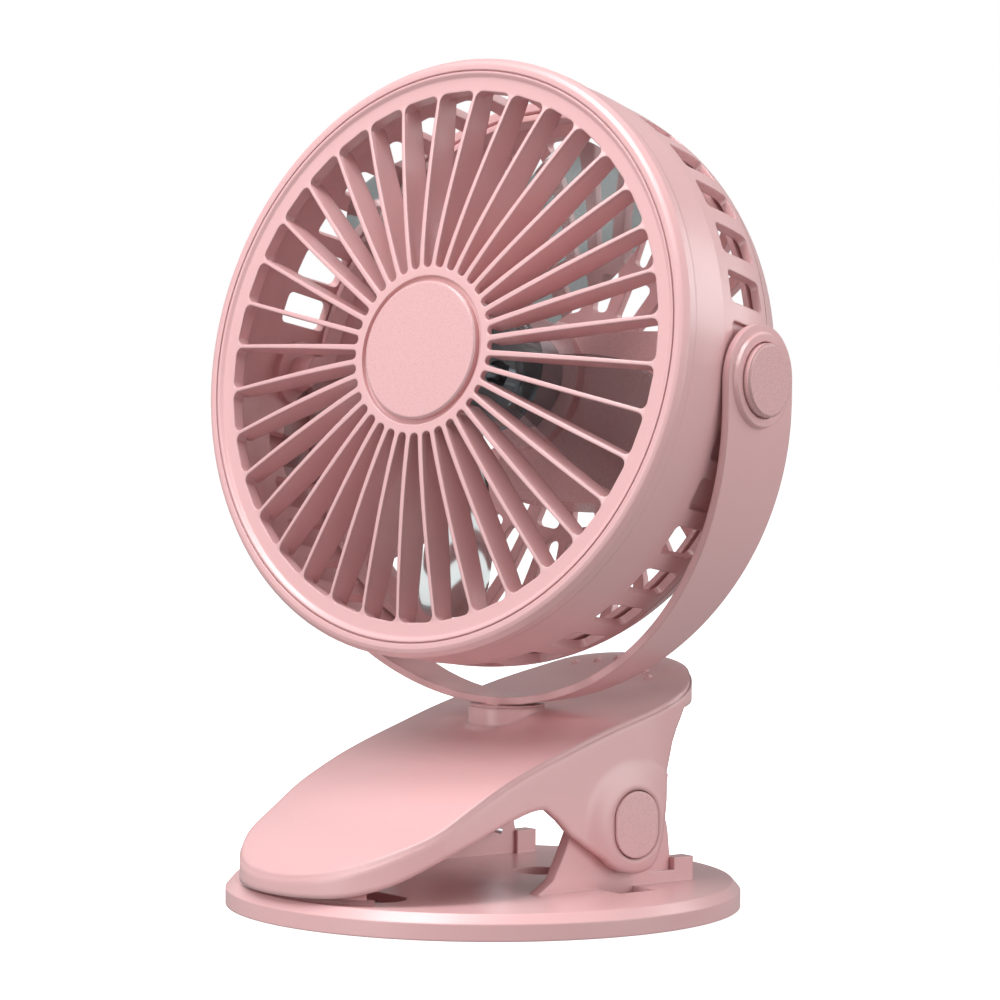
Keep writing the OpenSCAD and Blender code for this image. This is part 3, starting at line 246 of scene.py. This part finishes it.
# %% [markdown]
# Screws, pins, springs, the motor's can and the weight in the base are steel:
# bright, and a little uneven in gloss. Most of them are small or hidden, so an
# even grain, drawn at 0.3 mm, stands for their tool marks. A metal gets its look
# from its colour and roughness, and its index stays as it comes.

# %% Steel
STEEL_GRAIN_MM, STEEL_DEEP_MM = 0.3, 0.03


def turned_steel(name, colour, rough=0.3):
    """Turned or drawn steel: an even fine grain in the roughness and the bump."""
    mat, tree, shader, place = start_finish(name, {"Base Color": linear(colour), "Metallic": 1.0})
    grain = add(tree, "ShaderNodeTexNoise",
                {"Scale": 1 / (STEEL_GRAIN_MM * MM), "Detail": 2.0}, Vector=place)
    gloss = add(tree, "ShaderNodeMapRange", {"To Min": rough - 0.06, "To Max": rough + 0.1},
                Value=grain.outputs["Fac"])
    tree.links.new(gloss.outputs["Result"], shader.inputs["Roughness"])
    bump = add(tree, "ShaderNodeBump", {"Strength": 0.08, "Distance": STEEL_DEEP_MM * MM},
               Height=grain.outputs["Fac"])
    tree.links.new(bump.outputs["Normal"], shader.inputs["Normal"])
    return mat


STEEL = turned_steel("turned_steel", "#B9BCC0")
print("metal finish:", STEEL.name)

# %% [markdown]
# Rubber pads, nylon sleeves, the circuit board, the wrapped cell and the light's
# frosted window all scatter light without a sharp reflection. They differ in
# colour and in how rough they are, so one recipe serves them: blotches of two
# near colours, and a grain drawn at 0.5 mm.

# %% Rubber and the rest
BLOTCH_PER_M = 90.0  # blotches about 11 mm across
MATT_GRAIN_MM, MATT_DEEP_MM = 0.5, 0.08


def soft_matt(name, colour, shade, rough):
    """A scattering surface: blotches from colour to shade, a grain in roughness and bump."""
    mat, tree, shader, place = start_finish(name, {"IOR": 1.5})
    blot = add(tree, "ShaderNodeTexNoise", {"Scale": BLOTCH_PER_M, "Detail": 3.0}, Vector=place)
    tint = add(tree, "ShaderNodeMix", {"data_type": "RGBA"})
    tint.inputs[FIRST].default_value = linear(colour)
    tint.inputs[SECOND].default_value = linear(shade)
    tree.links.new(blot.outputs["Fac"], tint.inputs[FACTOR])
    tree.links.new(tint.outputs[MIXED], shader.inputs["Base Color"])
    grain = add(tree, "ShaderNodeTexNoise",
                {"Scale": 1 / (MATT_GRAIN_MM * MM), "Detail": 2.0}, Vector=place)
    gloss = add(tree, "ShaderNodeMapRange", {"To Min": rough - 0.08, "To Max": rough + 0.08},
                Value=grain.outputs["Fac"])
    tree.links.new(gloss.outputs["Result"], shader.inputs["Roughness"])
    bump = add(tree, "ShaderNodeBump", {"Strength": 0.15, "Distance": MATT_DEEP_MM * MM},
               Height=grain.outputs["Fac"])
    tree.links.new(bump.outputs["Normal"], shader.inputs["Normal"])
    return mat


RUBBER = soft_matt("moulded_rubber", "#C59A9B", "#BC9092", 0.75)
DARK = soft_matt("dark_nylon", "#2E2E32", "#36363A", 0.5)
BOARD = soft_matt("solder_masked_board", "#2F6B4A", "#27593E", 0.4)
CELL = soft_matt("wrapped_cell", "#8FA3B8", "#8699AE", 0.35)
LIGHT = soft_matt("frosted_light_window", "#F2F6FA", "#E6EDF2", 0.3)
print("other finishes:", [m.name for m in (RUBBER, DARK, BOARD, CELL, LIGHT)])

# %% [markdown]
# Each CAD node keeps its shape and takes the finish of its material slot. Two
# nodes have their own: the lever, whose edges are rounded more, and the washer
# under the yoke, which is as pink as the housing.

# %% Finishes of the CAD nodes
FINISH = {"shell": BLUSH, "trim": BLUSH_TRIM, "smoke": SMOKE, "steel": STEEL, "rubber": RUBBER,
          "dark": DARK, "board": BOARD, "cell": CELL, "light": LIGHT}
OWN = {"clip_lever": BLUSH_SOFT, "swivel_slip_washer": BLUSH_TRIM}
slot_of = {s["node"]: s["material_slot"] for s in frame["record"]["subparts"]}
for node, obj in frame["nodes"].items():
    obj.data.materials.clear()
    obj.data.materials.append(OWN.get(node, FINISH[slot_of[node]]))
print("finishes on", len(slot_of), "nodes")

# %% [markdown]
# The two clip springs are wound from steel wire, which is round all the way,
# where the CAD model's has six sides. A curve object with a round bevel could
# draw it too. Here each spring is one tube swept along its path with numpy,
# because the grid helper then welds and closes it as it does every piece: a
# straight low leg, the curls round the hinge, and a straight high leg, each
# meeting the coil without a kink.

# %% Clip springs
HINGE_Y, HINGE_Z = 18.0, 21.5
COIL_R, WIRE_R = 6.2, 0.8
CURLS, SPAN, SPRING_X = 3.31667, 7.96, 23.82
FIRST_DEG, LOW_DEG, HIGH_DEG = 106, 16, 50
LOW_LEG, HIGH_LEG, LEG_GAP = 11, 29, 0.4
CHAMFER, CHAMFER_SHARE = 0.15, 0.8


def spring_path(side):
    """The points of a spring, in mm. On the coil an angle grows evenly: y is the hinge's
    plus the coil's radius times its cosine, z the hinge's less the radius times its sine,
    and x falls evenly over the span. Each leg is a straight line along the coil's tangent."""
    t = np.linspace(0, 1, 220)
    a = np.radians(FIRST_DEG + 360 * CURLS * t)
    coil = np.stack([SPRING_X + (0.5 - t) * SPAN,
                     HINGE_Y + COIL_R * np.cos(a), HINGE_Z - COIL_R * np.sin(a)], -1)
    low, high = math.radians(LOW_DEG), math.radians(HIGH_DEG)
    low_way = np.array([0, math.cos(low), -math.sin(low)])
    high_way = np.array([0, math.cos(high), math.sin(high)])
    low_leg = coil[0] + np.linspace(LOW_LEG, LEG_GAP, 12)[:, None] * low_way
    high_leg = coil[-1] + np.linspace(LEG_GAP, HIGH_LEG, 24)[:, None] * high_way
    return np.concatenate([low_leg, coil, high_leg]) * [side, 1, 1]


def wire_grid(path, radius, around=20):
    """A circle carried along the path, square to its direction: each point is the path's,
    plus radius times the cosine and the sine of the way round on two directions square to
    it. Three rings at each end close the tube with a flat face and a small chamfer."""
    way = np.gradient(path, axis=0)
    way /= np.linalg.norm(way, axis=1)[:, None]
    u = np.array([1.0, 0, 0]) - way[:, :1] * way
    u /= np.linalg.norm(u, axis=1)[:, None]
    v = np.cross(way, u)
    last = len(path) - 1
    pick = np.r_[0, 0, np.arange(len(path)), last, last]
    shift = np.r_[0, 0, CHAMFER, np.zeros(len(path) - 2), -CHAMFER, 0, 0]
    size = radius * np.r_[0, CHAMFER_SHARE, np.ones(len(path)), CHAMFER_SHARE, 0]
    k = np.linspace(0, 2 * np.pi, around, endpoint=False)[None, :, None]
    ring = np.cos(k) * u[pick][:, None] + np.sin(k) * v[pick][:, None]
    return (path[pick] + shift[:, None] * way[pick])[:, None] + size[:, None, None] * ring


for side, name in ((1, "right"), (-1, "left")):
    wire = make_piece("wound_spring_" + name, [(wire_grid(spring_path(side), WIRE_R) * MM, True)],
                      "lever", STEEL)
    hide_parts("clip_spring_" + name)

# %% [markdown]
# The fan wheel is moulded in one piece from smoky clear styrene: a cup with
# five cambered, twisted blades. The CAD blades are as thick at their edges as
# in the middle. A moulded blade thins toward its edges, and a clear one shows
# it. So each blade is two sheets that meet along its two sides and its tip. At
# the root they stay apart and end, open, at the inner face of the cup's wall.

# %% Blades
HUB_R, HUB_WALL, TIP_R, BACK, FRONT = 15.0, 1.8, 61.0, 6.0, 19.0
BLADE_T, ROOT_WIDE, MORE_WIDE, WAIST = 1.4, 15, 25, 0.25
ROOT_DEG, UNTWIST_DEG, FLATTEN, CAMBER, TRIM = 42, 18, 0.62, 1.4, 5


def blade_skin(turn, way, rows=40, cols=32):
    """One face of a blade, in the head's frame, in mm. u goes from root to tip and v
    across, and w is how far twice v is from one. The width is 15, plus 25 times the
    sine of 90 degrees times u, times one less a quarter of u to the sixth. The pitch
    falls from 42 to 24 degrees. The camber is 1.4 times one less w squared, times 0.3
    plus u. The corners are trimmed by 5 times u times w to the fourth. The face stands
    off the middle by half the thickness, times one less w to the fourth, times one
    less u to the twelfth."""
    u = np.linspace(0, 1, rows)[:, None]
    v = np.linspace(0, 1, cols)[None, :]
    w = np.abs(2 * v - 1)
    root = HUB_R - HUB_WALL
    r = root + (TIP_R - root) * u
    wide = ROOT_WIDE + MORE_WIDE * np.sin(np.pi / 2 * u) * (1 - WAIST * u ** 6)
    pitch = np.radians(ROOT_DEG - UNTWIST_DEG * u)
    across = (v - 0.5) * wide
    angle = across * np.cos(pitch) / r + turn
    z = ((BACK + FRONT) / 2 + across * np.sin(pitch) * FLATTEN
         + CAMBER * (1 - w ** 2) * (0.3 + u))
    trimmed = r - w ** 4 * TRIM * u
    stand = 0.5 * BLADE_T * (1 - w ** 4) * (1 - u ** 12)
    return np.stack([trimmed * np.cos(angle), trimmed * np.sin(angle), z + way * stand], -1)


print("blades reach", TIP_R, "mm from the axis")

# %% [markdown]
# The cup is a turned shape, so one profile is carried round the axis, as on a
# lathe. It is hollow at the back, where the motor is, and thick in front, and the
# shaft's hole goes through it.

# %% The cup, and the wheel as one piece
BORE_R, FLOOR, ROUND, FINE = 1.5, 11.8, 0.4, 0.2
INNER_R = HUB_R - HUB_WALL
BLADES, FIRST_BLADE_DEG = 5, 55


def turned(profile, around=96):
    """A profile of (radius, height) rows turned round the Z axis: x and y are the radius
    times the cosine and the sine of the way round."""
    k = np.linspace(0, 2 * np.pi, around, endpoint=False)
    r, z = np.asarray(profile, float).T
    return np.stack([r[:, None] * np.cos(k), r[:, None] * np.sin(k),
                     np.repeat(z[:, None], around, 1)], -1)


cup = [(BORE_R, FRONT - ROUND), (BORE_R + ROUND, FRONT),
       (HUB_R - 1.4, FRONT), (HUB_R - 0.4, FRONT - 0.4), (HUB_R, FRONT - 1.2),
       (HUB_R, BACK + FINE), (HUB_R - FINE, BACK),
       (INNER_R + FINE, BACK), (INNER_R, BACK + FINE),
       (INNER_R, FLOOR - ROUND), (INNER_R - ROUND, FLOOR),
       (BORE_R + ROUND, FLOOR), (BORE_R, FLOOR + ROUND), (BORE_R, FRONT - ROUND)]
grids = [(to_row(turned(cup)), True)]
for n in range(BLADES):
    at = math.radians(FIRST_BLADE_DEG + n * 360 / BLADES)
    grids += [(to_row(blade_skin(at, way)), False) for way in (1, -1)]
wheel = make_piece("smoky_fan_wheel", grids, "rotor", SMOKE)
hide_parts("fan_blades")

# %% [markdown]
# Six low bumps on the lever's tail give the thumb a grip. They could be a noise
# in the lever's finish, but real ones cast small shadows, so each is a dome of
# its own. The lever's mesh is asked for its height and slope
# under each bump, so that every bump sits on it and sinks a little into it.

# %% Grip bumps
BUMP_R, BUMP_RISE, BUMP_SINK = 1.2, 0.7, 0.25
FULLNESS, FOOT_SINK = 0.7, 0.06
ABOVE = 0.1  # metres: the ray starts here, above the lever, and goes down
BUMP_AT = [(-17.2, 41.9), (-9.7, 43.1), (-3.8, 44.9), (8.7, 37.3), (11.5, 41.0), (15.3, 38.7)]

lever_mesh = frame["nodes"]["clip_lever"].data
lever_tree = BVHTree.FromPolygons([v.co for v in lever_mesh.vertices],
                                  [p.vertices[:] for p in lever_mesh.polygons])


def bump_grid(x, y, rings=12, around=28):
    """A dome square to the lever under it. At the share s of its radius it is as high as
    the rise times the cosine of 90 degrees times s, to the power 0.7, less 0.06 mm times
    s. A wall goes down into the lever from its foot, and a flat floor closes it."""
    spot, way, _, _ = lever_tree.ray_cast(Vector((x * MM, y * MM, ABOVE)), Vector((0, 0, -1)))
    way = np.array(way) if way.z > 0 else -np.array(way)
    side = np.cross(way, [0, 1, 0])
    side /= np.linalg.norm(side)
    other = np.cross(way, side)
    s = np.linspace(0, 1, rings)
    dome = BUMP_RISE * np.cos(np.pi / 2 * s) ** FULLNESS - FOOT_SINK * s
    up = np.r_[dome, -BUMP_SINK, -BUMP_SINK][:, None, None]
    out = np.r_[BUMP_R * s, BUMP_R, 0][:, None, None]
    k = np.linspace(0, 2 * np.pi, around, endpoint=False)[:, None]
    return np.array(spot) + MM * (out * (np.cos(k) * side + np.sin(k) * other) + up * way)


make_piece("grip_bumps", [(bump_grid(x, y), True) for x, y in BUMP_AT],
           "lever", BLUSH, sharp=60)

# %% [markdown]
# The camera stands where the photograph was taken from: a little above the
# floor, to the right of the fan's front, with a long lens. It could be aimed
# with a Track To constraint, but the small roll and the exact angles are easier
# to state as the three directions of its matrix.

# %% The camera
AZ, EL, ROLL = (math.radians(d) for d in (52.62, 2.19, 0.40))
DISTANCE, LOOK_AT = 0.91265, np.array([0, 0, 0.1])
SENSOR, FOCAL_SHARE = 36.0, 3.77468  # mm, and the focal length over the sensor's width
to_camera = np.array([math.sin(AZ) * math.cos(EL), -math.cos(AZ) * math.cos(EL), math.sin(EL)])
right = np.array([math.cos(AZ), math.sin(AZ), 0.0])
up = np.cross(to_camera, right)

cam_data = bpy.data.cameras.new("portrait_camera")
cam_data.sensor_width = SENSOR
cam_data.lens = FOCAL_SHARE * SENSOR
cam_data.shift_x, cam_data.shift_y = 0.01436, -0.00922
cam_data.clip_start, cam_data.clip_end = 0.05, 30
camera = bpy.data.objects.new("portrait_camera", cam_data)
bpy.context.scene.collection.objects.link(camera)
m = np.eye(4)
m[:3, 0] = right * math.cos(ROLL) + up * math.sin(ROLL)
m[:3, 1] = up * math.cos(ROLL) - right * math.sin(ROLL)
m[:3, 2] = to_camera
m[:3, 3] = LOOK_AT + to_camera * DISTANCE
camera.matrix_world = Matrix(m.tolist())
bpy.context.scene.camera = camera
print("camera at", m[:3, 3].round(3))

# %% [markdown]
# The light is that of a small studio. A high and a low soft lamp stand in front
# on the left. One fills from the right, and a small one stands on the same side,
# a little behind the fan. A last one hangs above, so that the head's shadow
# falls on the lever.

# %% The lights
CENTRE = np.array([0, 0, 0.11])
# Name, metres toward the camera, to the right and up, size in metres, power in watts
LAMPS = [("key_high_left", 0.5, -0.6, 0.90, 0.6, 9.4),
         ("key_low_left", 0.7, -0.75, 0.02, 0.45, 2.9),
         ("fill_right", 0.45, 1.0, 0.15, 0.7, 4.2),
         ("side_right", -0.15, 0.6, 0.25, 0.3, 0.9),
         ("top_soft", 0.1, -0.2, 1.10, 0.5, 6.4)]


def area_light(name, place, target, size, power):
    """A square soft white light at place, in metres, aimed at target."""
    data = bpy.data.lights.new(name, "AREA")
    data.size, data.energy = size, power
    lamp = bpy.data.objects.new(name, data)
    bpy.context.scene.collection.objects.link(lamp)
    lamp.location = place
    lamp.rotation_euler = Vector(target - place).to_track_quat("-Z", "Y").to_euler()


for name, near, aside, rise, size, power in LAMPS:
    place = CENTRE + to_camera * near + right * aside + np.array([0, 0, rise])
    area_light(name, place, CENTRE, size, power)
print("lamps:", len(LAMPS))

# %% [markdown]
# The background is white to the camera, and dimmer in the light that it gives,
# so that it doesn't wash the pink out. The floor is one sheet of pale paper,
# 12 m across, that glows enough to melt into the background. Diffuse and glossy
# rays don't see it, so the fan isn't lit or mirrored from below by it.

# %% The background and the floor
HALF_FLOOR = 6
world = bpy.data.worlds.new("pale_studio")
world.use_nodes = True
bpy.context.scene.world = world
sky = world.node_tree
sky.nodes["Background"].inputs["Color"].default_value = linear("#FFFFFF")
seen = add(sky, "ShaderNodeLightPath").outputs["Is Camera Ray"]
shine = add(sky, "ShaderNodeMapRange", {"To Min": 0.36, "To Max": 1.0}, Value=seen)
sky.links.new(shine.outputs["Result"], sky.nodes["Background"].inputs["Strength"])

corners = [(x * HALF_FLOOR, y * HALF_FLOOR, 0) for x, y in ((-1, -1), (1, -1), (1, 1), (-1, 1))]
floor_mesh = bpy.data.meshes.new("studio_floor")
floor_mesh.from_pydata(corners, [], [(0, 1, 2, 3)])
floor = bpy.data.objects.new("studio_floor", floor_mesh)
bpy.context.scene.collection.objects.link(floor)
paper, tree, shader, place = start_finish("pale_paper", {
    "Base Color": linear("#F7F6F5"), "Emission Color": linear("#FFFFFF"),
    "Emission Strength": 0.8})
fibre = add(tree, "ShaderNodeTexNoise", {"Scale": 1 / (2.5 * MM), "Detail": 2.0}, Vector=place)
gloss = add(tree, "ShaderNodeMapRange", {"To Min": 0.85, "To Max": 0.95},
            Value=fibre.outputs["Fac"])
tree.links.new(gloss.outputs["Result"], shader.inputs["Roughness"])
floor_mesh.materials.append(paper)
floor.visible_diffuse = floor.visible_glossy = False
bpy.context.scene.view_settings.view_transform = "Standard"
print("floor:", 2 * HALF_FLOOR, "m across")
